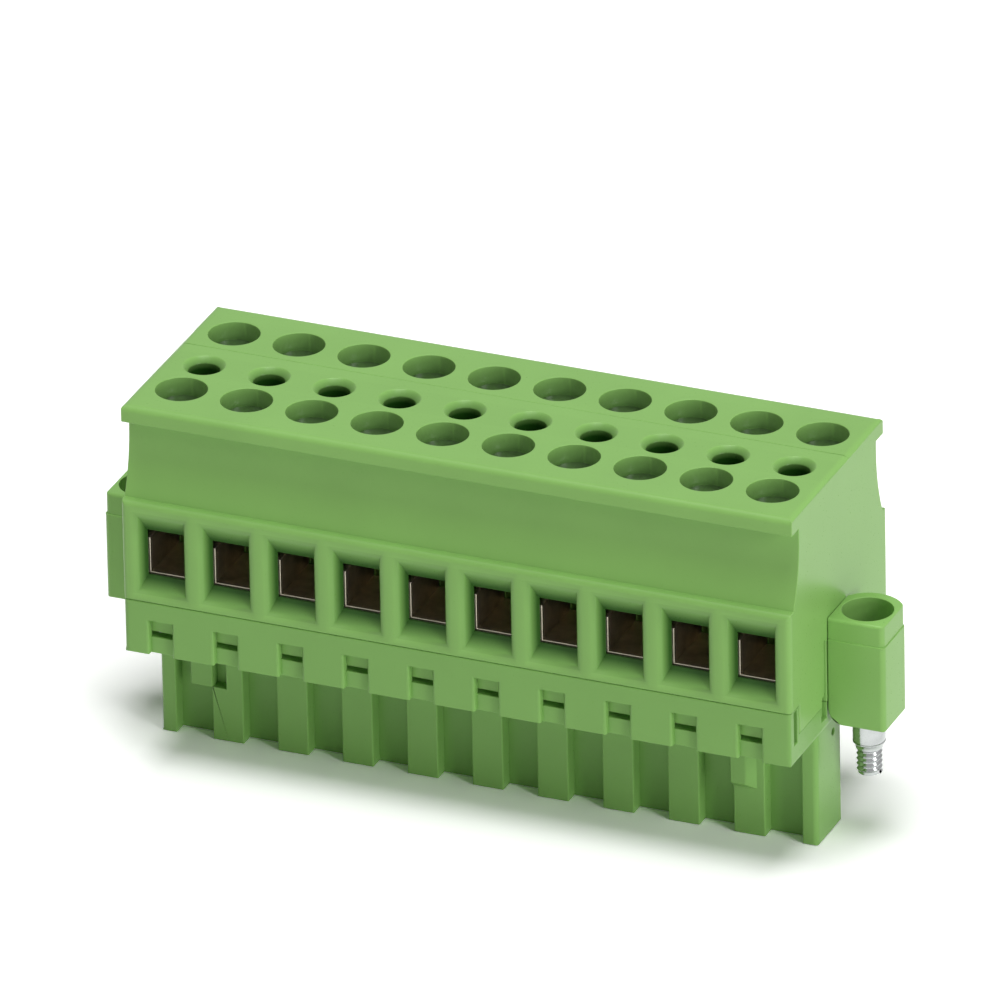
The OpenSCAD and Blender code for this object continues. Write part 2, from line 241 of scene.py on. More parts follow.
def two_tone(group, factor, first, second):
    """A mix of two colours by a factor."""
    mix = group.nodes.new("ShaderNodeMix")
    mix.data_type = "RGBA"
    group.links.new(factor, mix.inputs["Factor"])
    group.links.new(first, mix.inputs["A"])
    group.links.new(second, mix.inputs["B"])
    return mix.outputs["Result"]


def plus(group, first, second):
    """The sum of two values."""
    add = group.nodes.new("ShaderNodeMath")
    add.operation = "ADD"
    group.links.new(first, add.inputs[0])
    group.links.new(second, add.inputs[1])
    return add.outputs[0]


def noise(group, vector, scale, detail):
    """A noise texture on a vector."""
    node = group.nodes.new("ShaderNodeTexNoise")
    node.inputs["Detail"].default_value = detail
    group.links.new(vector, node.inputs["Vector"])
    if isinstance(scale, float):
        node.inputs["Scale"].default_value = scale
    else:
        group.links.new(scale, node.inputs["Scale"])
    return node.outputs["Fac"]


def moulded_group():
    """Moulded plastic: a faint drift of tone, and the fine grain of the tool's steel."""
    group, start, end = new_group(
        "Moulded Plastic",
        [
            ("Vector", "NodeSocketVector", None),
            ("Colour", "NodeSocketColor", (0.2, 0.4, 0.1, 1)),
            ("Drift Colour", "NodeSocketColor", (0.2, 0.4, 0.1, 1)),
            ("Grain Scale", "NodeSocketFloat", 6000.0),
            ("Roughness", "NodeSocketFloat", 0.45),
        ],
        [
            ("Colour", "NodeSocketColor", None),
            ("Roughness", "NodeSocketFloat", None),
            ("Height", "NodeSocketFloat", None),
        ],
    )
    given, links = start.outputs, group.links
    drift = ranged(group, noise(group, given["Vector"], 160.0, 3.0), -0.4, 1.4)
    grain = noise(group, given["Vector"], given["Grain Scale"], 3.0)
    tone = two_tone(group, drift, given["Colour"], given["Drift Colour"])
    rough = plus(group, ranged(group, grain, -0.07, 0.07), given["Roughness"])
    links.new(tone, end.inputs["Colour"])
    links.new(rough, end.inputs["Roughness"])
    links.new(grain, end.inputs["Height"])
    return group


def plated_group():
    """Plated metal: cloudy tone, and fine drawn lines that run level round the piece."""
    group, start, end = new_group(
        "Plated Metal",
        [
            ("Vector", "NodeSocketVector", None),
            ("Colour", "NodeSocketColor", (0.7, 0.7, 0.7, 1)),
            ("Stain Colour", "NodeSocketColor", (0.5, 0.5, 0.5, 1)),
            ("Cloud Scale", "NodeSocketFloat", 900.0),
            ("Roughness", "NodeSocketFloat", 0.3),
        ],
        [
            ("Colour", "NodeSocketColor", None),
            ("Roughness", "NodeSocketFloat", None),
            ("Height", "NodeSocketFloat", None),
        ],
    )
    given, links = start.outputs, group.links
    cloud = ranged(group, noise(group, given["Vector"], given["Cloud Scale"], 4.0), -0.6, 1.6)
    stretch = group.nodes.new("ShaderNodeMapping")
    stretch.inputs["Scale"].default_value = (0.05, 0.05, 1.0)
    links.new(given["Vector"], stretch.inputs["Vector"])
    lines = noise(group, stretch.outputs["Vector"], 14000.0, 2.0)
    tone = two_tone(group, cloud, given["Colour"], given["Stain Colour"])
    rough = plus(group, ranged(group, lines, -0.1, 0.1), given["Roughness"])
    links.new(tone, end.inputs["Colour"])
    links.new(rough, end.inputs["Roughness"])
    links.new(lines, end.inputs["Height"])
    return group


def hollow_group():
    """A mask that grows from the open end of a block of space inwards, where little light comes."""
    group, start, end = new_group(
        "Hollow Shade",
        [
            ("Vector", "NodeSocketVector", None),
            ("Centre", "NodeSocketVector", (0, 0, 0)),
            ("Half Size", "NodeSocketVector", (1, 1, 1)),
            ("Direction", "NodeSocketVector", (0, 0, -1)),
            ("Fade", "NodeSocketFloat", 0.001),
            ("Strength", "NodeSocketFloat", 1.0),
        ],
        [("Mask", "NodeSocketFloat", None)],
    )

    def step(kind, operation, first, second=None, output=0):
        node = group.nodes.new(kind)
        node.operation = operation
        group.links.new(first, node.inputs[0])
        if second is not None:
            group.links.new(second, node.inputs[1])
        return node.outputs[output]

    vector, plain = "ShaderNodeVectorMath", "ShaderNodeMath"
    half, way = start.outputs["Half Size"], start.outputs["Direction"]
    local = step(vector, "SUBTRACT", start.outputs["Vector"], start.outputs["Centre"])
    spare = step(vector, "SUBTRACT", half, step(vector, "ABSOLUTE", local))
    split = group.nodes.new("ShaderNodeSeparateXYZ")
    group.links.new(spare, split.inputs["Vector"])
    least = step(plain, "MINIMUM", split.outputs["X"], split.outputs["Y"])
    least = step(plain, "MINIMUM", least, split.outputs["Z"])
    inside = group.nodes.new("ShaderNodeMath")
    inside.operation = "GREATER_THAN"
    inside.inputs[1].default_value = 0.0
    group.links.new(least, inside.inputs[0])
    reach = step(vector, "DOT_PRODUCT", half, step(vector, "ABSOLUTE", way), "Value")
    depth = step(plain, "ADD", step(vector, "DOT_PRODUCT", local, way, "Value"), reach)
    deep = ranged(group, step(plain, "DIVIDE", depth, start.outputs["Fade"]), 0.0, 1.0)
    strong = step(plain, "MULTIPLY", inside.outputs[0], start.outputs["Strength"])
    group.links.new(step(plain, "MULTIPLY", deep, strong), end.inputs["Mask"])
    return group


def shade_hollow(material, low, high, way, fade, strength, colour_value):
    """Paints shade into a material's colour in the block between two corners, darker along one way."""
    nodes, links = material.node_tree.nodes, material.node_tree.links
    base = nodes["Principled BSDF"].inputs["Base Color"]
    mask = nodes.new("ShaderNodeGroup")
    mask.node_tree = group_once("Hollow Shade", hollow_group)
    mask.inputs["Centre"].default_value = (low + high) / 2
    mask.inputs["Half Size"].default_value = (high - low) / 2
    mask.inputs["Direction"].default_value = way
    mask.inputs["Fade"].default_value = fade
    mask.inputs["Strength"].default_value = strength
    links.new(nodes["Texture Coordinate"].outputs["Object"], mask.inputs["Vector"])
    mix = nodes.new("ShaderNodeMix")
    mix.data_type = "RGBA"
    links.new(mask.outputs["Mask"], mix.inputs["Factor"])
    links.new(base.links[0].from_socket, mix.inputs["A"])
    mix.inputs["B"].default_value = (*colour_value, 1)
    links.new(mix.outputs["Result"], base)


def group_material(name, group, values, metallic, depth):
    """A Principled material fed by one group on Object coordinates, with a bump of the given depth."""
    material = bpy.data.materials.new(name)
    material.use_nodes = True
    nodes, links = material.node_tree.nodes, material.node_tree.links
    shader = nodes["Principled BSDF"]
    shader.inputs["Metallic"].default_value = metallic
    place = nodes.new("ShaderNodeTexCoord")
    effect = nodes.new("ShaderNodeGroup")
    effect.node_tree = group
    for label, value in values.items():
        effect.inputs[label].default_value = value
    bump = nodes.new("ShaderNodeBump")
    bump.inputs["Strength"].default_value = 0.5
    bump.inputs["Distance"].default_value = depth
    links.new(place.outputs["Object"], effect.inputs["Vector"])
    links.new(effect.outputs["Colour"], shader.inputs["Base Color"])
    links.new(effect.outputs["Roughness"], shader.inputs["Roughness"])
    links.new(effect.outputs["Height"], bump.inputs["Height"])
    links.new(bump.outputs["Normal"], shader.inputs["Normal"])
    return material


def material_once(name, make):
    """The named material, made on first use."""
    return bpy.data.materials.get(name) or make(name)


def group_once(name, make):
    """The named node group, made on first use."""
    return bpy.data.node_groups.get(name) or make()


def plastic(name):
    """Satin green moulding for one kind of housing; the body's has shade painted into its holes and wire
    entries.
    """
    look = bpy.context.scene.block_mouldings
    # painted shade: the plug's green is the body's green made darker, for the shade on the low plug
    colour = look.plug_shaded_colour if name == "Plug Moulding" else look.body_colour
    values = {
        "Colour": (*colour, 1),
        "Drift Colour": (*[c * 0.93 for c in colour], 1),
        "Grain Scale": 1 / look.grain_size,
        "Roughness": look.roughness,
    }
    group = group_once("Moulded Plastic", moulded_group)
    material = group_material(name, group, values, 0.0, look.grain_depth)
    shader = material.node_tree.nodes["Principled BSDF"]
    shader.inputs["Specular IOR Level"].default_value = look.sheen
    # painted shade: the body's moulding is darkened in its holes and wire entries
    if name == "Body Moulding":
        shade_wells(material, look)
    return material


def shade_wells(material, look):
    """Paints shade into the walls of the test holes, screw wells and wire entries, darker with depth."""
    low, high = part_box("front_housing")
    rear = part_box("rear_housing")[1].y
    cage_low, cage_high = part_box("cage_front_1")
    well_half = half_width("clamp_screw_front_1") + WELL_MARGIN
    inner = high.x - END_MARGIN
    # painted shade: deep in the holes and entries the green is darkened and made greener, for the shade
    # that falls there
    deep_green = (0.5, 1.3, 0.5)
    dark = [c * look.painted_shade_tone * tint for c, tint in zip(look.body_colour, deep_green)]
    bottom, top = high.z - SHADE_DEPTH, high.z + NEAR
    rows = [(TEST_ROW, TEST_HALF, look.test_fade, 1.0)]
    rows += [(y, well_half, look.well_fade, look.well_shade) for y in screw_rows()]
    for row, half, fade, strength in rows:
        near_corner = Vector((-inner, row - half, bottom))
        far_corner = Vector((inner, row + half, top))
        shade_hollow(material, near_corner, far_corner, (0, 0, -1), fade, strength, dark)
    sill, lintel = cage_low.z - SILL_MARGIN, cage_high.z - LINTEL_MARGIN
    for way, face in ((1, low.y), (-1, rear)):
        near, far = sorted((face - way * NEAR, face + way * SHADE_DEPTH))
        near_corner, far_corner = Vector((-inner, near, sill)), Vector((inner, far, lintel))
        shade_hollow(material, near_corner, far_corner, (0, way, 0),
                     look.entry_fade, look.entry_shade, dark)


def metal(name):
    """Plated metal for one kind of piece."""
    look = bpy.context.scene.block_metals
    colour = {
        "Zinc Plate": look.screw_colour,
        "Cage Plate": look.cage_colour,
        "Contact Brass": look.contact_colour,
    }[name]
    values = {
        "Colour": (*colour, 1),
        "Stain Colour": (*[c * 0.75 for c in colour], 1),
        "Cloud Scale": 900.0,
        "Roughness": look.cage_roughness if name == "Cage Plate" else look.roughness,
    }
    group = group_once("Plated Metal", plated_group)
    return group_material(name, group, values, 1.0, look.line_depth)


# ---------------------------------------------------------------- settings


def length(name, description, millimetres):
    """A length property, given in millimetres."""
    return bpy.props.FloatProperty(name=name, description=description, default=millimetres * MM,
                                   min=0.0, precision=5, unit="LENGTH")


def colour(name, description, default):
    """A colour property."""
    return bpy.props.FloatVectorProperty(name=name, description=description, default=default,
                                         size=3, min=0.0, max=1.0, subtype="COLOR")


def number(name, description, default):
    """A plain number property."""
    return bpy.props.FloatProperty(name=name, description=description, default=default, min=0.0)


def angle(name, description, degrees):
    """An angle property, given in degrees."""
    return bpy.props.FloatProperty(name=name, description=description, default=radians(degrees),
                                   unit="ROTATION")


class MouldingSettings(bpy.types.PropertyGroup):
    body_colour: colour("Body Colour", "Colour of the upper halves and flanges", (0.250, 0.485, 0.128))
    # painted shade: the plug's green is the body's green made darker, for the shade on the low plug
    # under the body
    plug_shaded_colour: colour("Plug Colour", "Colour of the base and plug", (0.218, 0.436, 0.112))
    roughness: number("Roughness", "Roughness of the satin plastic", 0.30)
    sheen: number("Sheen", "Strength of the plastic's mirror-like part", 0.20)
    grain_size: length("Grain Size", "Size of the moulded grain", 0.16)
    grain_depth: length("Grain Depth", "Depth of the moulded grain", 0.004)
    fine_round: length("Fine Rounding", "Rounding of the inner edges", 0.06)
    edge_round: length("Edge Rounding", "Rounding of the seams and ends", 0.14)
    band_round: length("Band Rounding", "Rounding of the step below each flange's rim", 0.08)
    rim_round: length("Rim Rounding", "Rounding of the flanges' front rims", 0.24)
    mouth_round: length("Mouth Rounding", "Rounding of the wire entries' mouths", 0.42)
    lip_round: length("Lip Rounding", "Rounding of the lips' top edges", 0.50)
    rib_round: length("Rib Rounding", "Rounding of the plug's ribs", 0.12)
    latch_round: length("Latch Rounding", "Rounding of the latch windows' upright edges", 0.25)
    corner_round: length("Corner Rounding", "Rounding of the upright outer corners", 0.40)
    # painted shade: the tone, fades and strengths below set the shade painted into the test holes, screw
    # wells and wire entries
    painted_shade_tone: number("Hollow Tone", "Share of the colour that is left deep in a hole", 0.12)
    test_fade: length("Test Hole Fade", "Depth at which a test hole is fully dark", 0.9)
    well_fade: length("Well Fade", "Depth at which a screw well is fully dark", 2.4)
    well_shade: number("Well Shade", "Strength of the darkening in the screw wells", 0.82)
    entry_fade: length("Entry Fade", "Depth at which a wire entry's darkening is full", 0.9)
    entry_shade: number("Entry Shade", "Strength of the darkening in the wire entries", 0.9)


class MetalSettings(bpy.types.PropertyGroup):
    screw_colour: colour("Screw Colour", "Colour of the zinc plating", (0.56, 0.58, 0.58))
    cage_colour: colour("Cage Colour", "Colour of the cages' plating", (0.64, 0.58, 0.46))
    contact_colour: colour("Contact Colour", "Colour of the contacts", (0.62, 0.50, 0.32))
    roughness: number("Roughness", "Roughness of the screws and contacts", 0.18)
    cage_roughness: number("Cage Roughness", "Roughness of the cages", 0.38)
    cage_round: length("Cage Rounding", "Rounding of the cages' edges", 0.06)
    contact_round: length("Contact Rounding", "Rounding of the contacts' edges", 0.05)
    line_depth: length("Line Depth", "Depth of the drawn lines", 0.002)
    clamp_pitch: length("Clamp Thread Pitch", "Pitch of the clamp screws' thread", 0.5)
    flange_pitch: length("Flange Thread Pitch", "Pitch of the flange screws' thread", 0.4)
    flange_thread_r: length("Flange Thread Radius", "Radius of the flange screws' thread", 0.95)
    flange_collar_r: length("Flange Collar Radius", "Radius of the flange screws' collar", 1.2)
    collar_reach: length("Collar Reach", "How far the collar reaches below its flange", 2.2)


class StageSettings(bpy.types.PropertyGroup):
    floor_size: length("Floor Size", "Width of the square floor", 800.0)
    floor_colour: colour("Floor Colour", "Colour of the floor", (0.88, 0.88, 0.88))
    floor_gain: number("Floor Gain", "How much whiter the camera and bright metal see the floor", 1.5)
    sky: number("Sky", "Strength of the even light from all round", 0.105)
    backdrop: number("Backdrop", "Brightness of the room in mirror-like surfaces", 0.6)
    top: number("Top Lamp", "Light from above; 1 shows a colour as written", 0.87)
    right: number("Right Lamp", "Low light from the front right", 0.21)
    upper_right: number("Upper Right Lamp", "Light that slants down from the front right", 0.30)
    front: number("Front Lamp", "Low light on the front", 0.04)
    azimuth: angle("Azimuth", "Turn of the camera towards the right end", 23.18)
    elevation: angle("Elevation", "Height angle of the camera", 26.84)
    roll: angle("Roll", "Lean of the camera", -1.15)
    distance: length("Distance", "Distance of the camera", 1500.0)
    lens: number("Lens", "Focal length of the camera in millimetres", 752.0)


# ---------------------------------------------------------------- places


def at(value, place):
    """True if a value lies on a place."""
    return abs(value - place) < NEAR


def half_width(node):
    """Half the width of a node along the row of poles."""
    low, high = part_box(node)
    return (high.x - low.x) / 2


def pole_cuts():
    """Planes through each pole's middle and halfway between neighbouring poles."""
    places = [sum(corner.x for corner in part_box(f"contact_{i}")) / 2 for i in range(1, POLES + 1)]
    gaps = [(a + b) / 2 for a, b in zip(places, places[1:])]
    return [("x", x) for x in gaps + places]


def screw_rows():
    """How far the front and rear rows of clamp screws lie from the middle."""
    return [sum(corner.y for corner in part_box(f"clamp_screw_{side}_1")) / 2 for side in SIDES]


def each_clamp(kind):
    """The node, side and number of each clamp's piece of one kind."""
    return [(f"{kind}_{side}_{i}", side, i) for side in SIDES for i in range(1, POLES + 1)]


# ---------------------------------------------------------------- mouldings


def edge_run(a, b):
    """An edge's middle, its length and the axis that it runs along, if any."""
    run = b - a
    along = max("xyz", key=lambda axis: abs(getattr(run, axis)))
    straight = abs(getattr(run.normalized(), along)) > 0.9
    return (a + b) / 2, run.length, along if straight else ""


def upper_round(look, side, joint_y):
    """The rounding of an upper half's edges, by their place."""
    low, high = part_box(f"{side}_housing")
    face = low.y if side == "front" else high.y
    above_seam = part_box("plug_housing")[1].z + 0.3 * MM

    def width(a, b):
        mid, size, along = edge_run(a, b)
        long = size > LONG_EDGE
        on_end = at(abs(mid.x), high.x)
        if at(mid.y, joint_y):
            return look.fine_round if at(mid.z, high.z) and long else 0.0
        if at(mid.y, face) and on_end and along == "z":
            return look.corner_round
        if at(mid.y, face) and long:
            return look.mouth_round if mid.z > above_seam else look.edge_round
        if at(mid.z, high.z):
            return look.lip_round if long and (on_end or along == "x") else look.fine_round
        return look.edge_round if on_end and long else look.fine_round

    return width


class UpperHalves(bpy.types.Operator):
    """Builds the front and rear upper halves with rounded edges"""

    bl_idname = "terminal_block.upper_halves"
    bl_label = "Upper Halves"

    def execute(self, context):
        look = context.scene.block_mouldings
        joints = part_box("front_housing")[1].y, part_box("rear_housing")[0].y
        cage_low, cage_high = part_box("cage_front_1")
        cuts = pole_cuts() + [("y", y) for y in screw_rows()]
        cuts.append(("z", (cage_low.z + cage_high.z) / 2))
        for side, joint_y in zip(SIDES, joints):
            node = f"{side}_housing"
            piece = cad_copy(node, f"{side}_half", cuts)
            step = JOINT_CLOSING * (sum(joints) / 2 - joint_y)
            for vertex in piece.data.vertices:
                if at(vertex.co.y, joint_y):
                    vertex.co.y += step
            round_edges(piece, look.lip_round, upper_round(look, side, joint_y + step))
            smooth(piece)
            finish_piece(piece, material_once("Body Moulding", plastic), "housing", "housing", node)
        return {"FINISHED"}


def plug_round(look):
    """The rounding of the plug's edges, by their place."""
    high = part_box("plug_housing")[1]
    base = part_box("flange_right")[0].z
    rib_front, corner = -2.0 * MM, high.x - 0.6 * MM

    def width(a, b):
        mid, size, along = edge_run(a, b)
        if at(abs(mid.y), high.y):
            if along == "z":
                return look.corner_round if at(abs(mid.x), high.x) else look.latch_round
            return look.edge_round if at(mid.z, high.z) else look.fine_round
        on_rib = mid.y < rib_front and mid.z < base
        if on_rib and along == "z" and size > LONG_EDGE:
            return look.corner_round if abs(mid.x) > corner else look.rib_round
        return look.fine_round

    return width


class PlugHousing(bpy.types.Operator):
    """Builds the base and plug with rounded edges"""

    bl_idname = "terminal_block.plug_housing"
    bl_label = "Plug Housing"

    def execute(self, context):
        look = context.scene.block_mouldings
        piece = cad_copy("plug_housing", "plug_moulding", pole_cuts())
        round_edges(piece, look.corner_round, plug_round(look))
        smooth(piece)
        finish_piece(piece, material_once("Plug Moulding", plastic), "housing", "plug", "plug_housing")
        return {"FINISHED"}


def flange_round(look, node):
    """The rounding of a flange's edges, by their place."""
    low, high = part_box(node)
    outer = max(abs(low.x), abs(high.x)) - 0.15 * MM
    front = low.y + 0.2 * MM

    def width(a, b):
        mid, _, along = edge_run(a, b)
        on_side = abs(mid.x) > outer
        if along == "z":
            return look.corner_round if on_side and mid.y < 0 else look.rib_round
        if at(mid.z, high.z):
            if along == "x" and mid.y < front:
                return look.rim_round
            return look.edge_round if along == "y" and on_side else look.fine_round
        return look.edge_round if at(mid.z, low.z) else look.band_round

    return width


class Flanges(bpy.types.Operator):
    """Builds the two screw flanges with rounded edges"""

    bl_idname = "terminal_block.flanges"
    bl_label = "Flanges"

    def execute(self, context):
        look = context.scene.block_mouldings
        for end in ENDS:
            node = f"flange_{end}"
            screw_low, screw_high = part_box(f"flange_screw_{end}")
            axis = (screw_low + screw_high) / 2
            piece = cad_copy(node, f"flange_moulding_{end}", [("x", axis.x), ("y", axis.y)])
            round_edges(piece, look.corner_round, flange_round(look, node))
            smooth(piece)
            finish_piece(piece, material_once("Body Moulding", plastic), "housing", "housing", node)
        return {"FINISHED"}


# ---------------------------------------------------------------- metal pieces


def heal(piece, merge=0.0):
    """Points all faces of a piece outwards, after merging corners that lie close together."""
    make_active(piece)
    bpy.ops.object.mode_set(mode="EDIT")
    bpy.ops.mesh.select_all(action="SELECT")
    if merge:
        bpy.ops.mesh.remove_doubles(threshold=merge)
    bpy.ops.mesh.normals_make_consistent(inside=False)
    bpy.ops.object.mode_set(mode="OBJECT")
    return piece


def lathe(name, outline, sides=32):
    """A closed turned piece about the Z axis.

    The outline is a list of (radius, height) points that starts and ends on the axis."""
    bpy.ops.mesh.primitive_circle_add(vertices=sides, radius=outline[1][0], fill_type="NGON",
                                      location=(0, 0, outline[1][1]))
    piece = bpy.context.active_object
    piece.name = name
    settle(piece)
    bpy.ops.object.mode_set(mode="EDIT")
    bpy.ops.mesh.select_all(action="SELECT")
    for (radius, height), (wider, higher) in zip(outline[1:-2], outline[2:-1]):
        bpy.ops.mesh.extrude_region_move(TRANSFORM_OT_translate={"value": (0, 0, higher - height)})
        scale = wider / radius
        bpy.ops.transform.resize(value=(scale, scale, 1), center_override=(0, 0, higher))
    bpy.ops.object.mode_set(mode="OBJECT")
    return heal(piece)


def thread(name, radius, depth, pitch, start, end, sides=24):
    """A right-hand thread ridge: a small wedge turned and raised by the Screw modifier."""
    turns = int((end - start) / pitch) - 1
    half = 0.46 * pitch  # a little under half, so that neighbouring turns stay apart
    root = radius - depth
    bpy.ops.mesh.primitive_circle_add(vertices=4, radius=half, fill_type="NGON",
                                      location=(root, 0, start + half), rotation=(pi / 2, 0, 0))
    ridge = bpy.context.active_object
    ridge.name = name
    settle(ridge)
    corners = sorted(ridge.data.vertices, key=lambda v: v.co.x)
    corners[0].co.x = root - depth / 2
    corners[-1].co.x = radius
    helix = ridge.modifiers.new("Helix", "SCREW")
    helix.axis = "Z"
    helix.screw_offset = pitch
    helix.iterations = turns
    helix.steps = sides
    helix.render_steps = sides
    helix.use_merge_vertices = True
    apply_modifiers(ridge)
    return heal(ridge, WELD / 2)


def cut_slot(piece, low, top, head_r):
    """Cuts a straight driver slot across a head, from its floor up past the top."""
    high = top + MM
    bpy.ops.mesh.primitive_cube_add(size=1, location=(0, 0, (low + high) / 2),
                                    scale=(3 * head_r, SLOT_WIDTH, high - low))
    cutter = bpy.context.active_object
    settle(cutter)
    cut = piece.modifiers.new("Slot", "BOOLEAN")
    cut.object = cutter
    cut.operation = "DIFFERENCE"
    cut.solver = "EXACT"
    apply_modifiers(piece)
    bpy.data.objects.remove(cutter)


def place_screws(screw, names):
    """Puts a named copy of a screw on the axis of each node, and removes the first one."""
    for node, name in names:
        low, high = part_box(node)
        middle = (low + high) / 2
        copy = twin(screw, name, (middle.x, middle.y, 0))
        finish_piece(copy, material_once("Zinc Plate", metal), node, "screw", node)
    bpy.data.objects.remove(screw)


class ClampScrews(bpy.types.Operator):
    """Builds the slotted and threaded clamp screws, one for each wire entry"""

    bl_idname = "terminal_block.clamp_screws"
    bl_label = "Clamp Screws"

    def execute(self, context):
        look = context.scene.block_metals
        low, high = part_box("clamp_screw_front_1")
        head_r = half_width("clamp_screw_front_1")
        thread_r = 1.5 * MM
        head_height, slot_depth = 1.55 * MM, 0.85 * MM
        head = high.z - head_height
        chamfer = 0.14 * MM
        depth = 0.27 * MM
        core = thread_r - depth
        outline = [(0, low.z), (core - chamfer, low.z), (core, low.z + chamfer),
                   (core, head - 0.2 * MM), (thread_r, head - 0.05 * MM),
                   (head_r - chamfer, head), (head_r, head + chamfer),
                   (head_r, high.z - chamfer), (head_r - chamfer, high.z), (0, high.z)]
        screw = lathe("clamp_screw", outline)
        cut_slot(screw, high.z - slot_depth, high.z, head_r)
        ridge = thread("clamp_thread", thread_r, depth, look.clamp_pitch, low.z + chamfer, head)
        screw = join([screw, ridge], "clamp_screw")
        smooth(screw, THREAD_ANGLE)
        names = [(node, f"screw_{side}_{i}") for node, side, i in each_clamp("clamp_screw")]
        place_screws(screw, names)
        return {"FINISHED"}


class FlangeScrews(bpy.types.Operator):
    """Builds the two captive flange screws with their collars and threads"""

    bl_idname = "terminal_block.flange_screws"
    bl_label = "Flange Screws"

    def execute(self, context):
        look = context.scene.block_metals
        low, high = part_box("flange_screw_right")
        head_r = half_width("flange_screw_right")
        thread_r, collar_r = look.flange_thread_r, look.flange_collar_r
        collar_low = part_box("flange_right")[0].z - look.collar_reach
        head_height, slot_depth = 1.9 * MM, 1.0 * MM
        head = high.z - head_height
        depth = 0.13 * MM
        core = thread_r - depth
        edge = 0.1 * MM
        neck_r = collar_r - 2 * edge
        groove_r = collar_r - 0.06 * MM
        groove = collar_low + 0.16 * MM
        outline = [(0, low.z), (core, low.z), (core, collar_low - 0.42 * MM),
                   (neck_r, collar_low - 0.36 * MM), (neck_r, collar_low - 0.24 * MM),
                   (collar_r - edge, collar_low), (collar_r, collar_low + edge), (collar_r, groove),
                   (groove_r, groove + 0.04 * MM), (groove_r, groove + 0.12 * MM),
                   (collar_r, groove + 0.16 * MM), (collar_r, head),
                   (head_r - edge, head + edge / 2), (head_r, head + 1.5 * edge),
                   (head_r, high.z - edge), (head_r - edge, high.z), (0, high.z)]
        screw = lathe("flange_screw", outline)
        cut_slot(screw, high.z - slot_depth, high.z, head_r)
        ridge = thread("flange_thread", thread_r, depth, look.flange_pitch,
                       low.z - edge, collar_low - edge)
        screw = join([screw, ridge], "flange_screw")
        smooth(screw, THREAD_ANGLE)
        place_screws(screw, [(f"flange_screw_{end}", f"bolt_{end}") for end in ENDS])
        return {"FINISHED"}


class CagesAndContacts(bpy.types.Operator):
    """Builds the clamp cages and the contacts with their plating"""

    bl_idname = "terminal_block.cages_and_contacts"
    bl_label = "Cages and Contacts"

    def execute(self, context):
        look = context.scene.block_metals
        for node, side, i in each_clamp("cage"):
            self.dress(node, f"clamp_{side}_{i}", look.cage_round, "Cage Plate", node, "cage")
        for i in range(1, POLES + 1):
            self.dress(f"contact_{i}", f"bar_{i}", look.contact_round,
                       "Contact Brass", "housing", "contact")
        return {"FINISHED"}

    def dress(self, node, name, rounding, material, body, slot):
        """Rounds all edges of a metal piece evenly and plates it."""
        piece = cad_copy(node, name)
        round_edges(piece, rounding, lambda a, b: rounding)
        smooth(piece)
        finish_piece(piece, material_once(material, metal), body, slot, node)


# ---------------------------------------------------------------- stage


def ray_mask(nodes, links, *rays):
    """Full for rays of the named kinds, and nothing for the others."""
    light = nodes.new("ShaderNodeLightPath")
    seen = light.outputs[rays[0]]
    for ray in rays[1:]:
        add = nodes.new("ShaderNodeMath")
        add.operation = "ADD"
        add.use_clamp = True
        links.new(seen, add.inputs[0])
        links.new(light.outputs[ray], add.inputs[1])
        seen = add.outputs[0]
    return seen


def studio_world(sky, backdrop):
    """A room that lights the part a little, looks brighter in metal, and plain white to the camera."""
    world = bpy.data.worlds.new("Studio")
    world.use_nodes = True
    nodes, links = world.node_tree.nodes, world.node_tree.links
    background = nodes["Background"]
    background.inputs["Color"].default_value = (1, 1, 1, 1)
    mirrored = nodes.new("ShaderNodeMix")
    mirrored.inputs["A"].default_value = sky
    mirrored.inputs["B"].default_value = backdrop
    metal_rays = ray_mask(nodes, links, "Is Glossy Ray", "Is Transmission Ray")
    links.new(metal_rays, mirrored.inputs["Factor"])
    seen = nodes.new("ShaderNodeMix")
    seen.inputs["B"].default_value = 1.0
    links.new(mirrored.outputs["Result"], seen.inputs["A"])
    links.new(ray_mask(nodes, links, "Is Camera Ray"), seen.inputs["Factor"])
    links.new(seen.outputs["Result"], background.inputs["Strength"])
    return world


def floor_material(colour_value, gain):
    """Plain matt floor that the camera and bright metal see a little whiter than it lights."""
    material = bpy.data.materials.new("Floor")
    material.use_nodes = True
    nodes, links = material.node_tree.nodes, material.node_tree.links
    shader = nodes["Principled BSDF"]
    shader.inputs["Roughness"].default_value = 0.9
    shader.inputs["Specular IOR Level"].default_value = 0.1
    mix = nodes.new("ShaderNodeMix")
    mix.data_type = "RGBA"
    mix.inputs["A"].default_value = (*colour_value, 1)
    mix.inputs["B"].default_value = (*[c * gain for c in colour_value], 1)
    seen = ray_mask(nodes, links, "Is Camera Ray", "Is Glossy Ray", "Is Transmission Ray")
    links.new(seen, mix.inputs["Factor"])
    links.new(mix.outputs["Result"], shader.inputs["Base Color"])
    return material


def area_lamp(name, place, size, level):
    """A square area lamp that faces the part; at level 1 a colour that faces it shows as written."""
    lamp = bpy.data.lights.new(name, "AREA")
    lamp.size = size
    aim = LAMP_AIM - Vector(place)
    lamp.energy = level * (pi * aim.length) ** 2
    obj = bpy.data.objects.new(name, lamp)
    bpy.context.scene.collection.objects.link(obj)
    obj.location = place
    obj.rotation_euler = aim.to_track_quat("-Z", "Y").to_euler()
    return obj


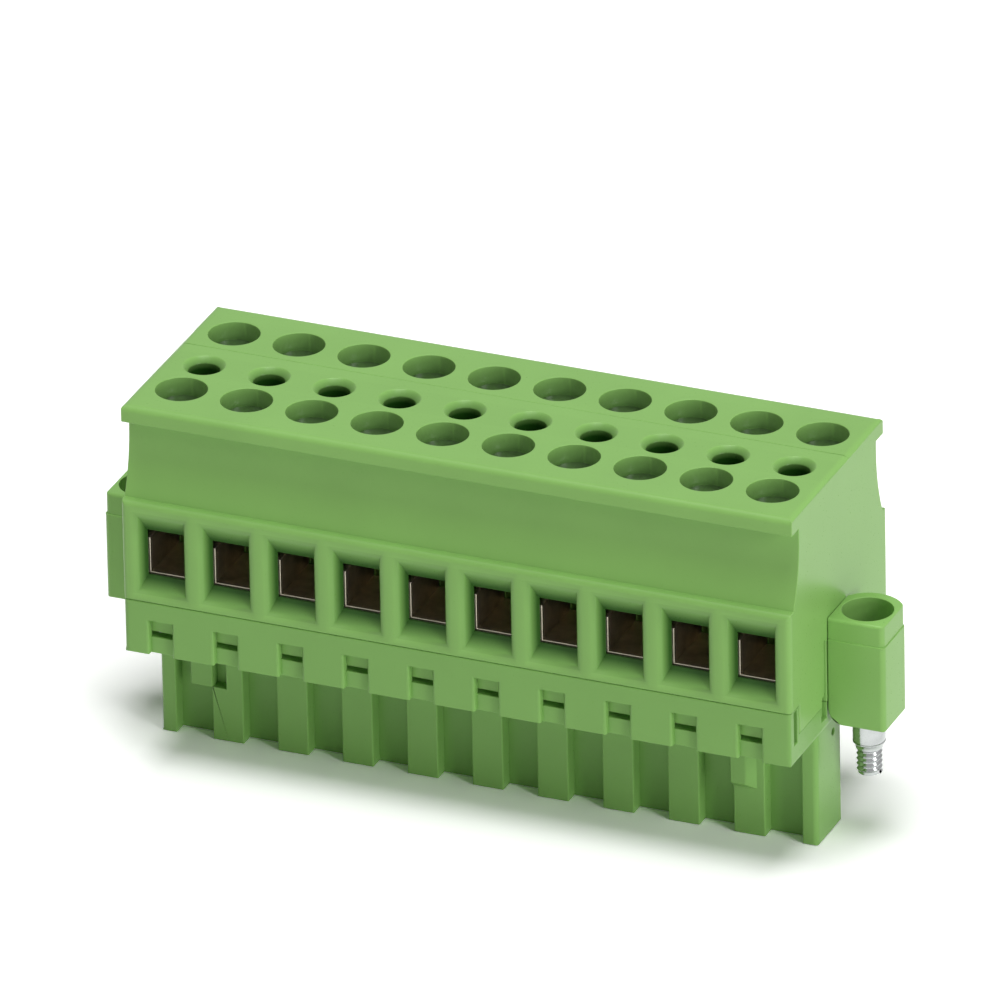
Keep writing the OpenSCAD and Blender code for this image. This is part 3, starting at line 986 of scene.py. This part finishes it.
class Stage(bpy.types.Operator):
    """Builds the floor, lamps, world and camera"""

    bl_idname = "terminal_block.stage"
    bl_label = "Stage"

    def execute(self, context):
        stage = context.scene.block_stage
        floor_z = cad_box[0][2] - NEAR
        bpy.ops.mesh.primitive_plane_add(size=stage.floor_size, location=(0, 0, floor_z))
        floor = context.active_object
        floor.name = "floor"
        settle(floor)
        floor.data.materials.append(floor_material(stage.floor_colour, stage.floor_gain))
        context.scene.world = studio_world(stage.sky, stage.backdrop)
        for name, place, size, level in (
            ("Top", (0.0, -0.04, 1.0), 0.6, stage.top),
            ("Right", (1.2, -0.55, 0.16), 0.3, stage.right),
            ("Upper Right", (1.05, -0.4, 0.6), 0.4, stage.upper_right),
            ("Front", (0.3, -2.0, 0.2), 0.4, stage.front),
        ):
            area_lamp(name, place, size, level)
        self.place_camera(context, stage)
        context.scene.view_settings.view_transform = "Standard"
        return {"FINISHED"}

    def place_camera(self, context, stage):
        """Puts the camera at its angles, aimed a little above the part's middle."""
        a, e = stage.azimuth, stage.elevation
        away = Vector((sin(a) * cos(e), -cos(a) * cos(e), sin(e)))
        camera = bpy.data.objects.new("Camera", bpy.data.cameras.new("Camera"))
        context.scene.collection.objects.link(camera)
        camera.rotation_euler = (-away).to_track_quat("-Z", "Y").to_euler()
        camera.rotation_euler.rotate_axis("Z", stage.roll)
        aside = camera.rotation_euler.to_matrix() @ CAMERA_SHIFT
        camera.location = CAMERA_AIM + aside + away * stage.distance
        camera.data.lens = stage.lens
        camera.data.sensor_width = 36
        camera.data.clip_end = 10
        context.scene.camera = camera


class TerminalBlockPanel(bpy.types.Panel):
    """Lists the steps that build the terminal block, and their settings"""

    bl_idname = "VIEW3D_PT_terminal_block"
    bl_label = "Terminal Block"
    bl_space_type = "VIEW_3D"
    bl_region_type = "UI"
    bl_category = "Terminal Block"

    def draw(self, context):
        for step in STEPS:
            self.layout.operator(step.bl_idname)
        for group in SETTINGS:
            settings = getattr(context.scene, group)
            box = self.layout.box()
            for name in settings.__annotations__:
                box.prop(settings, name)


SETTINGS = {
    "block_mouldings": MouldingSettings,
    "block_metals": MetalSettings,
    "block_stage": StageSettings,
}
STEPS = (UpperHalves, PlugHousing, Flanges, ClampScrews, FlangeScrews, CagesAndContacts, Stage)


def register():
    """Makes the settings, steps and panel known, and hangs the settings on the scene."""
    for cls in (*SETTINGS.values(), *STEPS, TerminalBlockPanel):
        bpy.utils.register_class(cls)
    for name, group in SETTINGS.items():
        setattr(bpy.types.Scene, name, bpy.props.PointerProperty(type=group))


def unregister():
    """Takes back what register did."""
    for name in SETTINGS:
        delattr(bpy.types.Scene, name)
    for cls in reversed((*SETTINGS.values(), *STEPS, TerminalBlockPanel)):
        bpy.utils.unregister_class(cls)


def main():
    """Runs every step."""
    register()
    for step in STEPS:
        name = step.bl_idname.split(".")[1]
        getattr(bpy.ops.terminal_block, name)()


if __name__ == "__main__":
    main()
